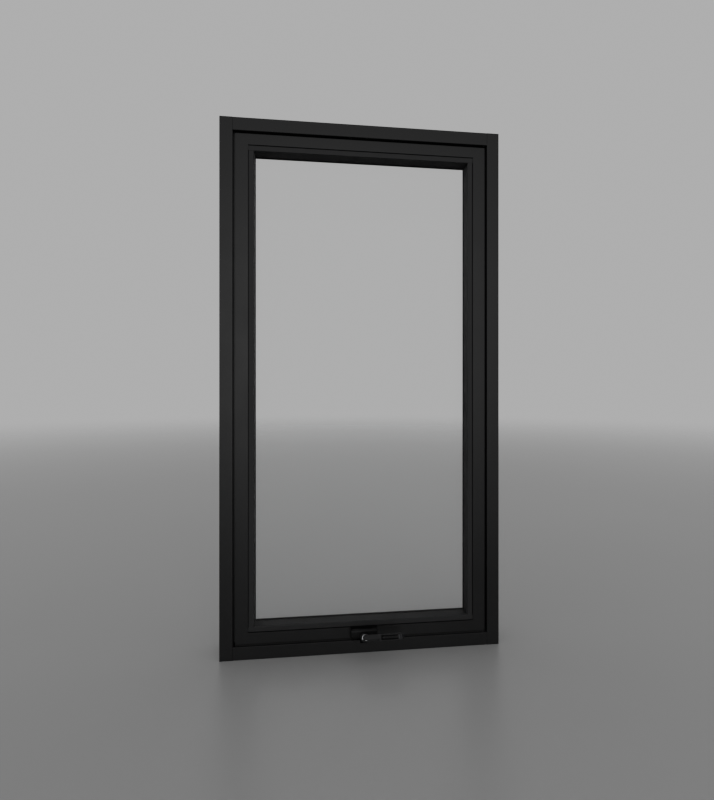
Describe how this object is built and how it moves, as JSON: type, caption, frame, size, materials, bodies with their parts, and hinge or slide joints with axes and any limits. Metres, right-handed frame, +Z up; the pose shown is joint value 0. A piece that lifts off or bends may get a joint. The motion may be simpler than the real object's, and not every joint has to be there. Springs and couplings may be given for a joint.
{
  "type": "crank casement window",
  "caption": "Side-hung outward-opening casement window with a double-glazed sash and a folding crank operator on the sill.",
  "frame": {"origin": "centre of the sill's underside", "axes": "+X to the right seen from the room, -Y towards the room, +Y outside, +Z up"},
  "size_m": [0.64, 0.1288, 1.2],
  "materials": {
    "black_coat": "satin powder coat",
    "black_plastic": "fine satin",
    "black_rubber": "matte",
    "zinc": "grey zinc casting",
    "steel": "zinc plated",
    "bronze": "sintered",
    "glass": "clear float"
  },
  "bodies": {
    "frame": {"frame_head": "black_coat", "frame_sill": "black_coat", "frame_jamb_hinge": "black_coat", "frame_jamb_lock": "black_coat", "frame_corner_screws": "steel", "frame_seal": "black_rubber", "frame_pivot_bottom": "zinc", "frame_pivot_top": "zinc", "frame_pivot_screws": "steel", "sill_seal": "black_rubber", "weep_covers": "black_plastic", "pivot_bushes": "bronze", "operator_housing": "zinc", "operator_screws": "steel", "shaft_bushes": "bronze", "operator_cover": "black_plastic", "nose_nut": "black_plastic", "arm_pivot_pin": "steel"},
    "sash": {"sash_rail_top": "black_coat", "sash_rail_bottom": "black_coat", "sash_stile_hinge": "black_coat", "sash_stile_lock": "black_coat", "sash_corner_screws": "steel", "bead_top": "black_coat", "bead_bottom": "black_coat", "bead_hinge_side": "black_coat", "bead_lock_side": "black_coat", "sash_pivot_bottom": "zinc", "sash_pivot_top": "zinc", "hinge_pin_bottom": "steel", "hinge_pin_top": "steel", "sash_pivot_screws": "steel", "glass_inner": "glass", "glass_outer": "glass", "spacer_bar": "black_plastic", "edge_seal": "black_rubber", "wedge_gasket": "black_rubber", "glazing_tape": "black_rubber", "setting_blocks": "black_rubber", "operator_track": "zinc", "track_screws": "steel"},
    "arm": {"sector_gear": "steel", "operator_arm": "zinc", "arm_rivets": "steel", "roller_pin": "steel"},
    "roller": {"arm_roller": "black_plastic"},
    "crank": {"crank_shaft": "steel", "worm": "bronze", "retaining_ring": "steel", "crank_arm": "black_coat", "hub_screw": "steel", "fold_pin": "steel"},
    "knob_fold": {"knob_block": "steel"},
    "knob": {"crank_knob": "black_plastic"}
  },
  "joints": [
    {"name": "sash_swing", "type": "hinge", "parent": "frame", "child": "sash", "pos_m": [-0.298, 0.023, 0.6], "axis": [0, 0, 1], "range_deg": [0, 75]},
    {"name": "arm_swing", "type": "hinge", "parent": "frame", "child": "arm", "pos_m": [-0.0186, -0.004, 0.028], "axis": [0, 0, 1], "range_deg": [0, 150]},
    {"name": "crank_turn", "type": "hinge", "parent": "frame", "child": "crank", "pos_m": [0, -0.08, 0.056], "axis": [0, 0.8991, -0.4377], "range_deg": [0, 3600]},
    {"name": "roller_spin", "type": "hinge", "parent": "arm", "child": "roller", "pos_m": [0.2608, 0.023, 0.032], "axis": [0, 0, 1], "continuous": true},
    {"name": "knob_unfold", "type": "hinge", "parent": "crank", "child": "knob_fold", "pos_m": [0.078, -0.08279, 0.05736], "axis": [0, 0.4377, 0.8991], "range_deg": [0, 90]},
    {"name": "knob_spin", "type": "hinge", "parent": "knob_fold", "child": "knob", "pos_m": [0.06, -0.08279, 0.05736], "axis": [1, 0, 0], "continuous": true}
  ],
  "couplings": [
    {"joint": "arm_swing", "follows": "sash_swing", "ratio": 2},
    {"joint": "crank_turn", "follows": "sash_swing", "ratio": 48}
  ]
}
